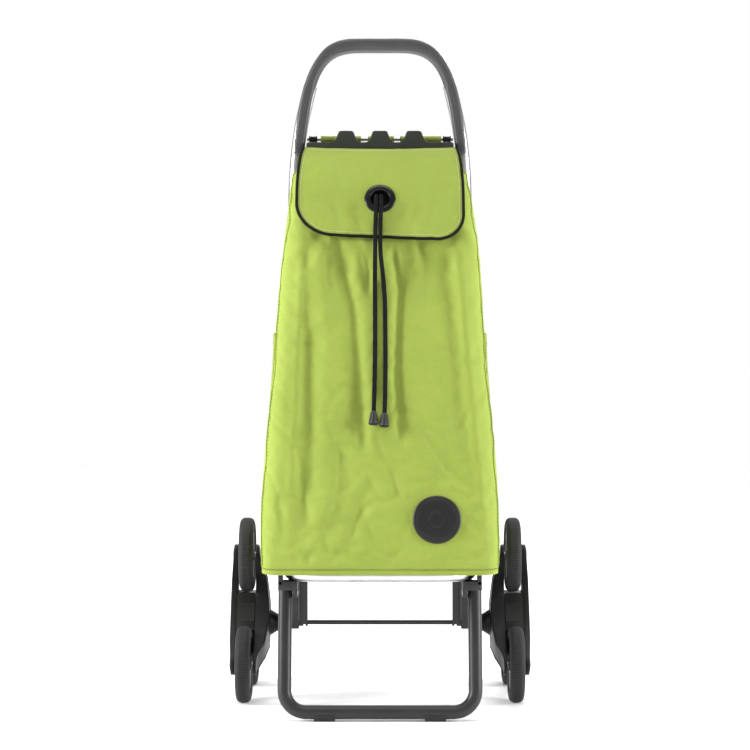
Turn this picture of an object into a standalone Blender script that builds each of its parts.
"""Six-wheel stair-climbing shopping trolley with a drawstring fabric bag.

Metres, +X to the user's right, +Y towards the handle side, +Z up. The origin is on the floor,
below the centre of the trolley's box. Each sub-part is one named object in the collection
shopping_trolley; pieces that move hang on an empty that stands on their joint's axis.
"""
import math

import bmesh
import bpy
from mathutils import Matrix, Vector

GAP = 0.0003  # kept between pieces that touch

# Frame
TUBE_R = 0.011
RAIL_X = 0.139
UPRIGHT_Y = 0.0375
SHELF_Z = 0.222
SHELF_FRONT_Y = -0.200
SHELF_CORNER_R = 0.055
UPRIGHT_ROUTE = [(0.139, 0.2621), (0.139, 0.50), (0.139, 0.78), (0.1385, 0.83), (0.1355, 0.88),
                 (0.1290, 0.93), (0.1205, 0.97), (0.1135, 0.9985)]  # (x, z), bottom to top
SPIGOT_R = 0.0085
SPIGOT_LONG = 0.024
BRACE_Z = 0.52
BRACKET_Y = (0.0245, 0.0535)
CROSS_BAR_Y = -0.055

# Axle and star clusters
AXLE_Y = 0.0645
AXLE_Z = 0.117
AXLE_R = 0.004
AXLE_HALF = 0.2408
ARM = 0.112
ARM_TIP_R = 0.017
WAIST = 0.042
WHEEL_R = 0.061
WHEEL_SIDES = 28
WHEEL_WELL_R = 0.065
STAR_INNER_X = 0.204
STAR_OUTER_X = 0.2335
WHEEL_X = 0.21875
PIN_R = 0.004

# Foot
FOOT_R = 0.01075
FOOT_X = 0.1465
FOOT_PIVOT = (-0.168, 0.193)  # (y, z)
FOOT_BAR_Y = -0.21205
PAD_THICK = 0.0027
FOOT_CORNER_R = 0.033
PIVOT_PIN_R = 0.003

# Handle
GRIP_Y = (0.006, 0.026)
GRIP_DEEP_Y = 0.048
GRIP_OUTER = [(0.0, 1.0735), (0.035, 1.0735), (0.0605, 1.0715), (0.082, 1.063), (0.0964, 1.050),
              (0.110, 1.030), (0.121, 1.005), (0.131, 0.965), (0.139, 0.905), (0.1405, 0.884)]
GRIP_INNER = [(0.0, 1.0515), (0.030, 1.0515), (0.050, 1.0505), (0.070, 1.045), (0.085, 1.034),
              (0.096, 1.018), (0.104, 0.998), (0.113, 0.962), (0.1205, 0.915), (0.1235, 0.884)]
GRIP_DEEP_FROM = 1.0015
HOOK_BAR_Y = (0.000, 0.0185)
HOOK_BAR_Z = (0.878, 0.9035)
HOOK_BAR_HALF = 0.1195
HOOK_PITCH = 0.055
HOOK_TOP = 0.922
HANGER_Y = 0.0290
HANGER_Z = 0.910
HANGER_R = 0.003

# Bag
CLOTH = 0.003
BAG_BACK_Y = 0.0235
BAG_HEM_Z = 0.2235
BAG_BASE_Z = (0.2334, 0.2374)
BAG_LEAN = 0.2372
BAG_FRONT_Y = -0.2175
BAG_HALF = [(0.2235, 0.181), (0.30, 0.1785), (0.45, 0.171), (0.60, 0.163), (0.70, 0.158),
            (0.745, 0.1545), (0.80, 0.147), (0.848, 0.142)]  # (z, half width)
BAG_FRONT = [(BAG_FRONT_Y, BAG_HEM_Z), (BAG_FRONT_Y, 0.2335), (-0.0975, 0.740), (-0.0785, 0.785),
             (-0.0645, 0.812), (-0.045, 0.835), (-0.030, 0.848)]  # (y, z)
BAG_MIDDLE = Vector((0, -0.06, 0.50))
POCKET_Z = (0.262, 0.593)
POCKET_Y = (-0.080, 0.010)

# Flap, eyelet and badge
FLAP_TOP = (-0.0035, 0.8935)  # (y, z)
FLAP_SHOULDER = (-0.0375, 0.8725)
FLAP_HALF = (0.124, 0.132)
FLAP_CORNER_R = (0.060, 0.042)  # left and right
FLAP_SKEW = 0.02  # the left edge is shorter and the right longer by this share
EYELET = (-0.0775, 0.806)
EYELET_TILT = math.radians(24)
EYELET_R = 0.025
EYELET_HOLE_R = 0.015
EYELET_NECK_R = 0.0185
FLAP_ABOVE_EYELET = 0.030
FLAP_BELOW_EYELET = 0.066
BADGE_X = 0.0872
BADGE_Z = 0.3072
BADGE_R = 0.0372

# Drawstring
CORD_R = 0.0035
CORD_LEFT = [(-0.0060, -0.0745, 0.8115), (-0.0060, -0.0848, 0.8049), (-0.0061, -0.0921, 0.7972),
             (-0.0063, -0.0952, 0.7876), (-0.0066, -0.0972, 0.7776), (-0.0070, -0.1033, 0.7627),
             (-0.0073, -0.1085, 0.7518), (-0.0075, -0.1138, 0.7340), (-0.0077, -0.1165, 0.7150),
             (-0.0079, -0.1189, 0.6900), (-0.0079, -0.1243, 0.6500), (-0.0076, -0.1353, 0.6000),
             (-0.0079, -0.1471, 0.5500), (-0.0088, -0.1603, 0.5010), (-0.0096, -0.1690, 0.4730)]
CORD_RIGHT = [(0.0017, -0.0745, 0.8115), (0.0017, -0.0848, 0.8049), (0.0016, -0.0921, 0.7972),
              (0.0014, -0.0952, 0.7876), (0.0011, -0.0972, 0.7776), (0.0007, -0.1033, 0.7627),
              (0.0004, -0.1085, 0.7518), (0.0004, -0.1138, 0.7340), (0.0012, -0.1165, 0.7150),
              (0.0040, -0.1189, 0.6900), (0.0074, -0.1243, 0.6500), (0.0082, -0.1353, 0.6000),
              (0.0084, -0.1471, 0.5500), (0.0079, -0.1603, 0.5010), (0.0070, -0.1697, 0.4700)]
CORD_END_LONG = 0.021

for old in list(bpy.data.objects):
    bpy.data.objects.remove(old)

PARTS = bpy.data.collections.new("shopping_trolley")
CUTTERS = bpy.data.collections.new("cutters")
bpy.context.scene.collection.children.link(PARTS)
bpy.context.scene.collection.children.link(CUTTERS)


def material(name, colour, roughness, metallic=0.0):
    made = bpy.data.materials.new(name)
    made.use_nodes = True
    shader = made.node_tree.nodes["Principled BSDF"]
    shader.inputs["Base Color"].default_value = (*colour, 1.0)
    shader.inputs["Roughness"].default_value = roughness
    shader.inputs["Metallic"].default_value = metallic
    return made


LOOKS = {
    "aluminium": ((0.80, 0.80, 0.81), 0.25, 1.0),
    "steel": ((0.55, 0.56, 0.57), 0.35, 1.0),
    "dark_paint": ((0.055, 0.055, 0.057), 0.45, 0.0),
    "dark_plastic": ((0.050, 0.050, 0.052), 0.50, 0.0),
    "rim_plastic": ((0.13, 0.13, 0.135), 0.40, 0.0),
    "tyre_rubber": ((0.025, 0.025, 0.026), 0.75, 0.0),
    "pad_rubber": ((0.03, 0.03, 0.03), 0.80, 0.0),
    "lime_fabric": ((0.40, 0.50, 0.08), 0.80, 0.0),
    "black_gloss": ((0.012, 0.012, 0.013), 0.20, 0.0),
    "black_cord": ((0.015, 0.015, 0.016), 0.85, 0.0),
}


def finish(obj, name, look, parent=None):
    """Names an object, gives it its own material and its place among the parts."""
    obj.name = name
    obj.data.name = name
    obj.data.materials.clear()
    obj.data.materials.append(material(name, *LOOKS[look]))
    for held in list(obj.users_collection):
        held.objects.unlink(obj)
    PARTS.objects.link(obj)
    if parent is not None:
        obj.parent = parent
        obj.matrix_parent_inverse = parent.matrix_world.inverted()
    return obj


def new_object(data, place=None):
    obj = bpy.data.objects.new("new", data)
    bpy.context.scene.collection.objects.link(obj)
    if place is not None:
        obj.matrix_world = place
    return obj


def empty(name, at):
    made = bpy.data.objects.new(name, None)
    made.location = at
    made.empty_display_size = 0.03
    PARTS.objects.link(made)
    bpy.context.view_layer.update()
    return made


def baked(obj, merge=1e-5):
    """The evaluated object as a plain mesh object in the same place, with its caps welded on."""
    bpy.context.view_layer.update()
    graph = bpy.context.evaluated_depsgraph_get()
    mesh = bpy.data.meshes.new_from_object(obj.evaluated_get(graph))
    mesh.materials.clear()
    work = bmesh.new()
    work.from_mesh(mesh)
    bmesh.ops.remove_doubles(work, verts=work.verts, dist=merge)
    bmesh.ops.recalc_face_normals(work, faces=work.faces)
    work.to_mesh(mesh)
    work.free()
    solid = new_object(mesh, obj.matrix_world.copy())
    bpy.data.objects.remove(obj)
    return solid


def combine(obj, other, operation):
    """Adds a Boolean with the other object as its hidden cutter."""
    for held in list(other.users_collection):
        held.objects.unlink(other)
    CUTTERS.objects.link(other)
    other.hide_render = True
    other.display_type = "WIRE"
    cut = obj.modifiers.new(operation.lower(), "BOOLEAN")
    cut.operation = operation
    cut.object = other
    return obj


def smooth(points, steps):
    """A Catmull-Rom curve through the points, with the given number of steps between two."""
    knots = [Vector(p) for p in points]
    ends = [2 * knots[0] - knots[1], *knots, 2 * knots[-1] - knots[-2]]
    curve = []
    for a, b, c, d in zip(ends, ends[1:], ends[2:], ends[3:]):
        for step in range(steps):
            t = step / steps
            curve.append(0.5 * (2 * b + (c - a) * t + (2 * a - 5 * b + 4 * c - d) * t**2
                                + (3 * b - a - 3 * c + d) * t**3))
    return [*curve, knots[-1]]


def arc(centre, radius, start, end, steps):
    """Points (u, v) along an arc, from one angle in degrees to another."""
    angles = [math.radians(start + (end - start) * i / steps) for i in range(steps + 1)]
    return [(centre[0] + radius * math.cos(a), centre[1] + radius * math.sin(a)) for a in angles]


def tube(points, radius, resolution=4):
    """A round tube along the points, with closed ends."""
    data = bpy.data.curves.new("tube", "CURVE")
    data.dimensions = "3D"
    data.bevel_depth = radius
    data.bevel_resolution = resolution
    data.use_fill_caps = True
    line = data.splines.new("POLY")
    line.points.add(len(points) - 1)
    for knot, point in zip(line.points, points):
        knot.co = (*point, 1.0)
    return baked(new_object(data))


def plate(outline, thick, place, rounding=0.0):
    """A flat outline given thickness about its own plane, with rounded edges if asked."""
    data = bpy.data.curves.new("plate", "CURVE")
    data.dimensions = "2D"
    data.fill_mode = "BOTH"
    data.extrude = thick / 2 - rounding
    data.bevel_depth = rounding
    data.bevel_resolution = 1
    data.offset = -rounding
    line = data.splines.new("POLY")
    line.points.add(len(outline) - 1)
    for knot, (u, v) in zip(line.points, outline):
        knot.co = (u, v, 0.0, 1.0)
    line.use_cyclic_u = True
    return baked(new_object(data, place))


def turned(profile, sides, place, phase=0.0):
    """A profile of (radius, height), top to bottom down its outer side, turned about local Z."""
    mesh = bpy.data.meshes.new("turned")
    work = bmesh.new()
    ring = profile[0][0] > 0
    corners = [work.verts.new((r * math.cos(phase), r * math.sin(phase), h)) for r, h in profile]
    pairs = list(zip(corners, corners[1:]))
    if ring:
        pairs.append((corners[-1], corners[0]))
    for pair in pairs:
        work.edges.new(pair)
    work.to_mesh(mesh)
    work.free()
    obj = new_object(mesh, place)
    screw = obj.modifiers.new("turn", "SCREW")
    screw.steps = sides
    screw.render_steps = sides
    screw.use_merge_vertices = True
    screw.merge_threshold = 0.00005
    return baked(obj)


def block(low, high, rounding=0.0):
    """A box between two corners, its scale in the mesh, with rounded edges if asked."""
    mesh = bpy.data.meshes.new("block")
    work = bmesh.new()
    bmesh.ops.create_cube(work, size=1.0)
    size = Vector(high) - Vector(low)
    bmesh.ops.scale(work, vec=size, verts=work.verts)
    bmesh.ops.translate(work, vec=(Vector(high) + Vector(low)) / 2, verts=work.verts)
    work.to_mesh(mesh)
    work.free()
    obj = new_object(mesh)
    if rounding:
        edge = obj.modifiers.new("rounded", "BEVEL")
        edge.width = rounding
        edge.segments = 2
        return baked(obj)
    return obj


def cloth(columns, rows, place, thick=CLOTH, inward=-1):
    """A sheet over u and v from 0 to 1, put in space by place(u, v) and given a thickness."""
    mesh = bpy.data.meshes.new("cloth")
    work = bmesh.new()
    bmesh.ops.create_grid(work, x_segments=columns, y_segments=rows, size=0.5)
    for corner in work.verts:
        corner.co = place(corner.co.x + 0.5, corner.co.y + 0.5)
    bmesh.ops.recalc_face_normals(work, faces=work.faces)
    facing = sum(face.normal.dot(face.calc_center_median() - BAG_MIDDLE) for face in work.faces)
    if facing < 0:
        bmesh.ops.reverse_faces(work, faces=work.faces)
    work.to_mesh(mesh)
    work.free()
    obj = new_object(mesh)
    shell = obj.modifiers.new("thickness", "SOLIDIFY")
    shell.thickness = thick
    shell.offset = inward
    shell.use_even_offset = True
    return obj


def along(direction, at):
    """Local Z along the direction, with the origin at the point."""
    turn = Vector((0, 0, 1)).rotation_difference(Vector(direction).normalized())
    return Matrix.Translation(at) @ turn.to_matrix().to_4x4()


def cylinder(start, end, radius, sides=16):
    """A straight rod between two points."""
    a, b = Vector(start), Vector(end)
    long = (b - a).length
    profile = [(0, long), (radius, long), (radius, 0), (0, 0)]
    return turned(profile, sides, along(b - a, a))


def mirrored(points):
    return [(-x, *rest) for x, *rest in points]


def between(table, z):
    """The value at z in a table of (z, value) pairs, straight between its rows."""
    for (z0, a), (z1, b) in zip(table, table[1:]):
        if z <= z1:
            return a + (b - a) * max(0.0, (z - z0) / (z1 - z0))
    return table[-1][1]


def bag_half(z):
    return between(BAG_HALF, z)


def bag_front(z):
    """Where the front panel's outer face is at a height."""
    return between([(height, y) for y, height in BAG_FRONT], z)


SIDES = (("l", -1), ("r", 1))
YZ_PLANE = Matrix(((0, 0, 1, 0), (1, 0, 0, 0), (0, 1, 0, 0), (0, 0, 0, 1)))  # u to Y, v to Z
XZ_PLANE = Matrix(((1, 0, 0, 0), (0, 0, -1, 0), (0, 1, 0, 0), (0, 0, 0, 1)))  # u to X, v to Z


def at_x(x):
    return Matrix.Translation((x, 0, 0)) @ YZ_PLANE


def at_y(y):
    return Matrix.Translation((0, y, 0)) @ XZ_PLANE


# --- frame -------------------------------------------------------------------------------------


def make_frame():
    for side, sign in SIDES:
        route = smooth([(sign * x, UPRIGHT_Y, z) for x, z in UPRIGHT_ROUTE], 3)
        upright = tube(route, TUBE_R)
        top, before = route[-1], route[-2]
        down = (before - top).normalized()
        socket = cylinder(top - down * 0.002, top + down * (SPIGOT_LONG + 0.002), SPIGOT_R + GAP)
        finish(combine(upright, socket, "DIFFERENCE"), f"frame_upright_{side}", "aluminium")
    corner_y = SHELF_FRONT_Y + SHELF_CORNER_R
    corner_x = RAIL_X - SHELF_CORNER_R
    right = arc((corner_x, corner_y), SHELF_CORNER_R, 0, -90, 8)
    half = [(RAIL_X, BRACKET_Y[0] - GAP), (RAIL_X, -0.07), *right]
    path = [*half, *reversed(mirrored(half))]
    finish(tube([(x, y, SHELF_Z) for x, y in path], TUBE_R), "shelf_tube", "aluminium")
    reach = RAIL_X - TUBE_R - GAP
    bar = cylinder((-reach, CROSS_BAR_Y, SHELF_Z), (reach, CROSS_BAR_Y, SHELF_Z), 0.005, 12)
    finish(bar, "shelf_cross_bar", "steel")
    brace = cylinder((-reach, UPRIGHT_Y, BRACE_Z), (reach, UPRIGHT_Y, BRACE_Z), 0.006, 12)
    finish(brace, "back_brace", "steel")


def make_axle_brackets():
    for side, sign in SIDES:
        inner, outer = RAIL_X - 0.0115, RAIL_X + 0.0115
        xs = sorted((sign * inner, sign * outer))
        top = block((xs[0], BRACKET_Y[0], 0.206), (xs[1], BRACKET_Y[1], 0.2618), 0.003)
        leg_xs = sorted((sign * 0.1336, sign * outer))
        outline = [(0.036, 0.206 + 0.012), (0.036, 0.150), (0.048, 0.108), (0.080, 0.108),
                   (0.084, 0.128), (0.060, 0.206 + 0.012)]
        leg = plate(outline, leg_xs[1] - leg_xs[0], at_x(sum(leg_xs) / 2))
        body = baked(combine(top, leg, "UNION"))
        bore = cylinder((sign * 0.12, AXLE_Y, AXLE_Z), (sign * 0.16, AXLE_Y, AXLE_Z), AXLE_R + GAP)
        finish(combine(body, bore, "DIFFERENCE"), f"axle_bracket_{side}", "dark_plastic")
        tab = [(0.1190, 0.112), (0.1225, 0.112), (0.1225, 0.118), (0.1262, 0.118), (0.1262, 0.112),
               (0.1332, 0.112), (0.1332, 0.2040), (0.1270, 0.2100), (0.1190, 0.198)]
        tab = [(sign * u, v) for u, v in tab]
        finish(plate(tab, 0.003, at_y(0.054), 0.0004), f"axle_plate_{side}", "steel")
    ends = (-AXLE_HALF, AXLE_Y, AXLE_Z), (AXLE_HALF, AXLE_Y, AXLE_Z)
    finish(cylinder(*ends, AXLE_R), "main_axle", "steel")


# --- handle ------------------------------------------------------------------------------------


def grip_outline(low):
    """The arch's closed outline (x, z), cut off level at the given height."""
    def above(points):
        kept = [p for p in smooth(points, 2) if p.y > low + 0.001]
        below = next((p for p in smooth(points, 2) if p.y <= low + 0.001), None)
        last = kept[-1]
        if below is None or below.y >= last.y:
            return [tuple(p) for p in kept]
        share = (last.y - low) / (last.y - below.y)
        return [*(tuple(p) for p in kept), tuple(last + (below - last) * share)]
    outer, inner = above(GRIP_OUTER), above(GRIP_INNER)
    right = [*outer, *reversed(inner)]
    left = [*mirrored(inner[1:]), *reversed(mirrored(outer[1:]))]
    return [*right, *left]


def make_handle():
    front, back = GRIP_Y
    low = GRIP_OUTER[-1][1]
    arch = plate(grip_outline(low), back - front, at_y((front + back) / 2), 0.004)
    deep_from = back - 0.006
    middle = (deep_from + GRIP_DEEP_Y) / 2
    deep = plate(grip_outline(GRIP_DEEP_FROM), GRIP_DEEP_Y - deep_from, at_y(middle), 0.003)
    arch = combine(arch, deep, "UNION")
    for _, sign in SIDES:
        route = smooth([(sign * x, UPRIGHT_Y, z) for x, z in UPRIGHT_ROUTE], 3)
        top, before = route[-1], route[-2]
        down = (before - top).normalized()
        spigot = cylinder(top - down * 0.008, top + down * SPIGOT_LONG, SPIGOT_R)
        arch = combine(arch, spigot, "UNION")
    finish(arch, "handle_grip", "dark_plastic")
    make_hook_bar()
    make_hanger()


def make_hook_bar():
    base, shoulder = HOOK_BAR_Z
    half = HOOK_BAR_HALF
    outline = [(-half, base), (half, base), (half, shoulder)]
    for centre in (HOOK_PITCH, 0.0, -HOOK_PITCH):
        outline += [(centre + 0.0205, shoulder), (centre + 0.0103, HOOK_TOP),
                    (centre - 0.0103, HOOK_TOP), (centre - 0.0205, shoulder)]
    outline.append((-half, shoulder))
    front, back = HOOK_BAR_Y
    bar = plate(outline, back - front, at_y((front + back) / 2), 0.0015)
    finish(bar, "hook_bar", "dark_plastic")


def make_hanger():
    reach = HOOK_BAR_HALF - 0.0005
    rod = cylinder((-reach, HANGER_Y, HANGER_Z), (reach, HANGER_Y, HANGER_Z), HANGER_R, 12)
    finish(rod, "hanger_rod", "steel")
    bore = HANGER_R + GAP
    profile = [(bore, 0.0065), (0.0065, 0.0065), (0.0065, 0.0035), (0.0050, 0.0025),
               (0.0050, -0.0025), (0.0065, -0.0035), (0.0065, -0.0065), (bore, -0.0065)]
    for side, sign in SIDES:
        clip = turned(profile, 12, along((1, 0, 0), (sign * 0.109, HANGER_Y, HANGER_Z)))
        finish(clip, f"hanger_clip_{side}", "dark_plastic")


# --- foot --------------------------------------------------------------------------------------


def foot_point(x, share):
    """A point of the foot's plane: share 0 is at the pivot's height and 1 at the bar's."""
    pivot_y, pivot_z = FOOT_PIVOT
    bar_z = PAD_THICK + GAP + FOOT_R
    return (x, pivot_y + (FOOT_BAR_Y - pivot_y) * share, pivot_z + (bar_z - pivot_z) * share)


def make_foot():
    pivot_y, pivot_z = FOOT_PIVOT
    hinge = empty("foot_axis", (0, pivot_y, pivot_z))
    long = (Vector(foot_point(0, 1)) - Vector(foot_point(0, 0))).length
    corner = arc((FOOT_X - FOOT_CORNER_R, 1 - FOOT_CORNER_R / long), 1.0, 0, 90, 6)
    centre_x, centre_s = FOOT_X - FOOT_CORNER_R, 1 - FOOT_CORNER_R / long
    bend = [(centre_x + (u - centre_x) * FOOT_CORNER_R, centre_s + (v - centre_s) * FOOT_CORNER_R / long)
            for u, v in corner]
    half = [(FOOT_X, 0.0), *bend]
    path = [foot_point(x, s) for x, s in [*half, *reversed(mirrored(half))]]
    foot = tube(path, FOOT_R)
    for side, sign in SIDES:
        at = (sign * FOOT_X, pivot_y, pivot_z)
        ball = turned([(0, FOOT_R), *[(x, y) for x, y in arc((0, 0), FOOT_R, 67.5, -67.5, 6)],
                       (0, -FOOT_R)], 12, Matrix.Translation(at))
        foot = combine(foot, ball, "UNION")
    foot = baked(foot)
    for side, sign in SIDES:
        reach = (sign * 0.120, pivot_y, pivot_z), (sign * 0.165, pivot_y, pivot_z)
        foot = combine(foot, cylinder(*reach, PIVOT_PIN_R + GAP, 12), "DIFFERENCE")
        make_knuckle(side, sign)
        pin = cylinder((sign * 0.1280, pivot_y, pivot_z), (sign * 0.1572, pivot_y, pivot_z), PIVOT_PIN_R, 12)
        finish(pin, f"foot_pivot_{side}", "steel")
        pad_x = sign * 0.085
        pad = block((pad_x - 0.016, FOOT_BAR_Y - 0.008, 0), (pad_x + 0.016, FOOT_BAR_Y + 0.008, PAD_THICK))
        finish(pad, f"foot_pad_{side}", "pad_rubber", hinge)
    finish(foot, "foot_tube", "dark_paint", hinge)


def make_knuckle(side, sign):
    """An angle bracket below the shelf rail, whose cheek carries the foot's pivot pin."""
    pivot_y, pivot_z = FOOT_PIVOT
    under_rail = SHELF_Z - TUBE_R - GAP
    over_foot = pivot_z + FOOT_R + 0.0008
    beside_rail = RAIL_X + TUBE_R + GAP
    outline = [(0.1275, 0.184), (0.1352, 0.184), (0.1352, over_foot), (0.1572, over_foot),
               (0.1572, SHELF_Z), (beside_rail, SHELF_Z), (beside_rail, under_rail), (0.1275, under_rail)]
    body = plate([(sign * u, v) for u, v in outline], 0.026, at_y(pivot_y), 0.0008)
    bore = cylinder((sign * 0.122, pivot_y, pivot_z), (sign * 0.140, pivot_y, pivot_z), PIVOT_PIN_R + GAP, 12)
    finish(combine(body, bore, "DIFFERENCE"), f"foot_knuckle_{side}", "dark_plastic")


# --- stars and wheels --------------------------------------------------------------------------


def star_outline(inset=0.0):
    """The three-armed outline about the axle: round arm tips joined by hollow sides."""
    tip, waist = ARM_TIP_R - inset, WAIST - inset
    side, forward = ARM * math.sin(math.radians(60)), ARM * math.cos(math.radians(60))
    hollow = (side**2 + (waist - forward)**2 - tip**2) / (2 * (tip - waist + forward))
    far = waist + hollow
    sweep = math.degrees(math.atan2(side, far - forward))
    points = []
    for arm in range(3):
        turn = 90 + 120 * arm
        heading = math.radians(turn)
        centre = (ARM * math.cos(heading), ARM * math.sin(heading))
        lean = 60 + (90 - sweep) - 30
        points += arc(centre, tip, turn - lean - 30, turn + lean + 30, 6)
        middle = math.radians(turn + 60)
        away = (far * math.cos(middle), far * math.sin(middle))
        points += arc(away, hollow, turn + 240 + sweep, turn + 240 - sweep, 8)[1:-1]
    return points


def wheel_centres():
    """(name, y, z) of the three wheels about the axle, at rest."""
    names = ("top", "front", "rear")
    for name, turn in zip(names, (90, 210, 330)):
        yield name, AXLE_Y + ARM * math.cos(math.radians(turn)), AXLE_Z + ARM * math.sin(math.radians(turn))


def star_slab(low, high, inset=0.0):
    """The star outline as a slab between two x positions, in place about the axle."""
    place = Matrix.Translation(((low + high) / 2, AXLE_Y, AXLE_Z)) @ YZ_PLANE
    return plate(star_outline(inset), abs(high - low), place)


def star_dome(sign, faces):
    """A turned solid about the axle, from (radius, x) pairs and back to the wheel side."""
    place = along((sign, 0, 0), (0, AXLE_Y, AXLE_Z))
    return turned(faces, 32, place)


def make_star(side, sign):
    hub = empty(f"star_axis_{side}", (0, AXLE_Y, AXLE_Z))
    outer = star_slab(sign * (STAR_INNER_X + 0.0004), sign * 0.2500)
    dome = star_dome(sign, [(0, 0.2460), (0.030, 0.2452), (0.075, 0.2437), (0.110, 0.2412), (0.135, 0.2400),
                            (0.135, STAR_INNER_X + 0.0002), (0, STAR_INNER_X + 0.0002)])
    outer = baked(combine(outer, dome, "INTERSECT"))
    inner_x = STAR_INNER_X - 0.001
    for name, y, z in wheel_centres():
        well = turned([(0, STAR_OUTER_X), (WHEEL_WELL_R, STAR_OUTER_X), (WHEEL_WELL_R, inner_x), (0, inner_x)],
                      32, along((sign, 0, 0), (0, y, z)))
        outer = combine(outer, well, "DIFFERENCE")
    outer = baked(outer)
    bore = star_dome(sign, [(0, 0.2600), (0.0135, 0.2600), (0.0135, 0.2411), (AXLE_R + GAP, 0.2411),
                            (AXLE_R + GAP, 0.1500), (0, 0.1500)])
    finish(combine(outer, bore, "DIFFERENCE"), f"star_outer_shell_{side}", "dark_plastic", hub)

    inner = star_slab(sign * 0.1600, sign * STAR_INNER_X)
    dome = star_dome(sign, [(0, 0.2100), (0.135, 0.2100), (0.135, 0.2005), (0.110, 0.1985), (0.075, 0.1870),
                            (0.040, 0.1822), (0.0215, 0.1810), (0, 0.1810)])
    inner = baked(combine(inner, dome, "INTERSECT"))
    cone = star_dome(sign, [(0, 0.1900), (0.0215, 0.1900), (0.0215, 0.1810), (0.0125, 0.1660), (0.0125, 0.1520),
                            (0, 0.1520)])
    inner = baked(combine(inner, cone, "UNION"))
    bore = star_dome(sign, [(0, 0.2600), (AXLE_R + GAP, 0.2600), (AXLE_R + GAP, 0.1500), (0, 0.1500)])
    finish(combine(inner, bore, "DIFFERENCE"), f"star_inner_shell_{side}", "dark_plastic", hub)

    cap = star_dome(sign, [(0, 0.2466), (0.0085, 0.2461), (0.0130, 0.2440), (0.0130, 0.2414), (0, 0.2414)])
    finish(cap, f"axle_cap_{side}", "black_gloss", hub)
    return hub


def wheel_meshes():
    """The tyre and the spoked rim, about the X axis at the origin."""
    grow = 1 / math.cos(math.pi / WHEEL_SIDES)
    half_step = math.pi / WHEEL_SIDES
    sideways = along((1, 0, 0), (0, 0, 0))
    half = [(0.0455, 0.0095), (0.0520, 0.0120), (0.0578, 0.0095), (WHEEL_R, 0.0035)]
    profile = [*half, *[(r, -h) for r, h in reversed(half)]]
    tyre = turned([(r * grow, h) for r, h in profile], WHEEL_SIDES, sideways, half_step)
    ring = turned([(0.0385 * grow, 0.009), (0.0452 * grow, 0.009), (0.0452 * grow, -0.009),
                   (0.0385 * grow, -0.009)], WHEEL_SIDES, sideways, half_step)
    hub = turned([(PIN_R + GAP, 0.0115), (0.0120, 0.0115), (0.0120, -0.0115), (PIN_R + GAP, -0.0115)], 16, sideways)
    rim = combine(ring, hub, "UNION")
    for spoke in range(5):
        bar = block((-0.0035, -0.0045, 0.0085), (0.0035, 0.0045, 0.0405))
        bar.matrix_world = Matrix.Rotation(math.radians(72 * spoke), 4, "X")
        rim = combine(rim, bar, "UNION")
    return tyre, baked(rim)


def make_wheels(hubs):
    tyre, rim = wheel_meshes()
    pin = cylinder((STAR_INNER_X + GAP, 0, 0), (STAR_OUTER_X - GAP, 0, 0), PIN_R, 12)
    for side, sign in SIDES:
        for name, y, z in wheel_centres():
            label = f"{name}_{side}"
            axis = empty(f"wheel_axis_{label}", (sign * WHEEL_X, y, z))
            axis.parent = hubs[side]
            axis.matrix_parent_inverse = hubs[side].matrix_world.inverted()
            bpy.context.view_layer.update()
            for piece, mesh, look in (("tyre", tyre.data, "tyre_rubber"), ("rim", rim.data, "rim_plastic")):
                place = Matrix.Translation((sign * WHEEL_X, y, z)) @ (tyre if piece == "tyre" else rim).matrix_world
                finish(new_object(mesh.copy(), place), f"wheel_{piece}_{label}", look, axis)
            place = Matrix.Translation(((sign - 1) * WHEEL_X, y, z)) @ pin.matrix_world
            finish(new_object(pin.data.copy(), place), f"wheel_pin_{label}", "steel", hubs[side])
    for spare in (tyre, rim, pin):
        bpy.data.objects.remove(spare)


# --- bag ---------------------------------------------------------------------------------------


def make_bag():
    rows = [0.2235, 0.2335, 0.36, 0.48, 0.60, 0.74, 0.785, 0.812, 0.835, 0.848]

    def height(v, table):
        at = v * (len(table) - 1)
        low = min(int(at + 1e-6), len(table) - 2)
        return table[low] + (table[low + 1] - table[low]) * (at - low)

    def front(u, v):
        z = height(v, rows)
        return (2 * u - 1) * bag_half(z), bag_front(z), z

    finish(cloth(8, len(rows) - 1, front), "bag_front", "lime_fabric")
    side_rows = rows[1:]
    for side, sign in SIDES:
        def wall(u, v):
            z = height(v, side_rows)
            slope = (bag_front(z + 0.004) - bag_front(z - 0.004)) / 0.008
            start = bag_front(z) + CLOTH * math.hypot(1, slope) + 0.0012
            end = BAG_BACK_Y - CLOTH - 0.0008
            return sign * bag_half(z), start + (end - start) * u, z

        finish(cloth(4, len(side_rows) - 1, wall), f"bag_side_{side}", "lime_fabric")

        def pocket(u, v):
            z = POCKET_Z[0] + (POCKET_Z[1] - POCKET_Z[0]) * v
            low, high = POCKET_Y
            return sign * (bag_half(z) + 0.0042), low + (high - low) * u, z

        finish(cloth(2, 4, pocket), f"side_pocket_{side}", "lime_fabric")
    back_rows = [0.2338, 0.30, 0.45, 0.60, 0.70, 0.80, 0.848, 0.876, 0.912]

    def back(u, v):
        z = height(v, back_rows)
        top = [(0.848, 0.142), (0.876, 0.1165), (0.912, 0.0985)]
        half = bag_half(z) if z <= 0.848 else between(top, z)
        return (2 * u - 1) * half, BAG_BACK_Y, z

    finish(cloth(4, len(back_rows) - 1, back), "bag_back", "lime_fabric")
    low, high = BAG_BASE_Z
    front_y = bag_front(high) + CLOTH + 0.0015
    back_y = BAG_BACK_Y - CLOTH - 0.001
    half = bag_half(high) - CLOTH - 0.001
    finish(block((-half, front_y, low), (half, back_y, high)), "bag_base", "dark_plastic")


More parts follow.
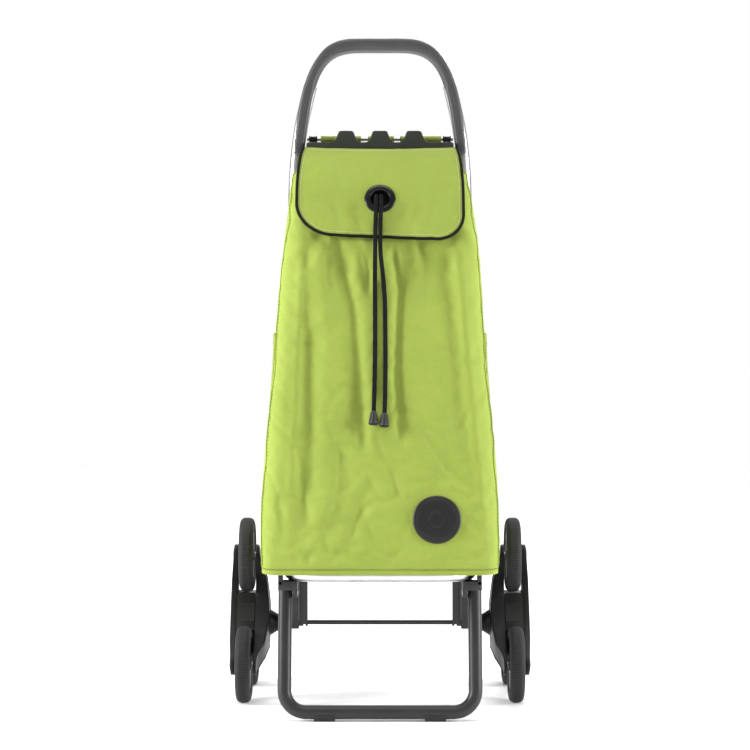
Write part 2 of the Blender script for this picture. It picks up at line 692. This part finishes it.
def flap_frame(down, out):
    """(y, z) of a point given from the eyelet: down the flap, and out from its middle surface."""
    lean, rise = math.sin(EYELET_TILT), math.cos(EYELET_TILT)
    return EYELET[0] - lean * down - rise * out, EYELET[1] - rise * down + lean * out


def make_flap():
    hinge = empty("flap_axis", (0, *FLAP_TOP))
    start = flap_frame(-FLAP_ABOVE_EYELET, 0)
    end = flap_frame(FLAP_BELOW_EYELET, 0)
    curve = smooth([FLAP_TOP, FLAP_SHOULDER, start], 4)
    below = [0.25, 0.50, 0.66, 0.78, 0.87, 0.94, 1.0]
    line = [*curve, *[Vector(start).lerp(Vector(end), share) for share in below]]
    steps = [0.0]
    for a, b in zip(line, line[1:]):
        steps.append(steps[-1] + (b - a).length)
    total = steps[-1]
    beyond = (line[-1] - line[-2]).normalized()

    def down(gone):
        """The point that far down the flap's middle line, which runs on straight past its end."""
        for (a, low), (b, high) in zip(zip(line, steps), zip(line[1:], steps[1:])):
            if gone <= high:
                return a.lerp(b, (gone - low) / (high - low))
        return line[-1] + beyond * (gone - total)

    def place(u, v):
        gone = steps[round(v * (len(line) - 1))]
        share = min(1.0, gone / (0.62 * total))
        half = FLAP_HALF[0] + (FLAP_HALF[1] - FLAP_HALF[0]) * math.sin(share * math.pi / 2)
        radius = FLAP_CORNER_R[0] if u < 0.5 else FLAP_CORNER_R[1]
        into = min(radius, max(0.0, gone - (total - radius)))
        half -= radius - math.sqrt(radius**2 - into**2)
        y, z = down(gone * (1 + FLAP_SKEW * (2 * u - 1) * gone / total))
        return (2 * u - 1) * half, y, z

    flap = baked(cloth(8, len(line) - 1, place, inward=0))
    axis = Vector((0, *flap_frame(0, 1))) - Vector((0, *flap_frame(0, 0)))
    middle = Vector((0, *flap_frame(0, 0)))
    hole = cylinder(middle - axis * 0.01, middle + axis * 0.01, EYELET_NECK_R + GAP, 24)
    finish(combine(flap, hole, "DIFFERENCE"), "flap", "lime_fabric", hinge)

    groove = CLOTH / 2 + GAP
    face = groove + 0.0022
    half = [(EYELET_HOLE_R, face), (EYELET_R - 0.002, face), (EYELET_R, face - 0.0012),
            (EYELET_R, groove), (EYELET_NECK_R, groove)]
    profile = [*half, *[(r, -h) for r, h in reversed(half)]]
    finish(turned(profile, 24, along(axis, middle)), "eyelet", "black_gloss", hinge)
    return hinge


def make_badge():
    lean = math.atan(BAG_LEAN)
    out = Vector((0, -math.cos(lean), math.sin(lean)))
    at = Vector((BADGE_X, bag_front(BADGE_Z), BADGE_Z)) + out * 0.0006
    profile = [(0, 0.0060), (0.016, 0.0055), (0.029, 0.0040), (0.0350, 0.0024), (BADGE_R, 0.0010),
               (BADGE_R, 0), (0, 0)]
    finish(turned(profile, 28, along(out, at)), "badge", "black_gloss")


def make_cords(flap_hinge):
    hem_y, hem_z = flap_frame(FLAP_BELOW_EYELET, 0)
    swing = empty("cord_axis", (0, hem_y, hem_z))
    swing.parent = flap_hinge
    swing.matrix_parent_inverse = flap_hinge.matrix_world.inverted()
    bpy.context.view_layer.update()
    for side, route in (("l", CORD_LEFT), ("r", CORD_RIGHT)):
        line = smooth(route, 2)
        finish(tube(line, CORD_R, 2), f"cord_{side}", "black_cord", swing)
        on = (line[-1] - line[-2]).normalized()
        profile = [(0, 0), (0.0036, 0), (0.0052, -0.002), (0.0060, -0.008), (0.0078, -0.0175),
                   (0.0080, -CORD_END_LONG), (0, -CORD_END_LONG)]
        end = turned(profile, 16, along(-on, line[-1] + on * GAP))
        finish(end, f"cord_end_{side}", "dark_plastic", swing)


def main():
    make_frame()
    make_axle_brackets()
    make_handle()
    make_foot()
    hubs = {side: make_star(side, sign) for side, sign in SIDES}
    make_wheels(hubs)
    make_bag()
    flap_hinge = make_flap()
    make_badge()
    make_cords(flap_hinge)
    for obj in PARTS.objects:
        if obj.type == "MESH":
            obj.data.shade_smooth()
            obj.data.set_sharp_from_angle(angle=math.radians(35))


main()
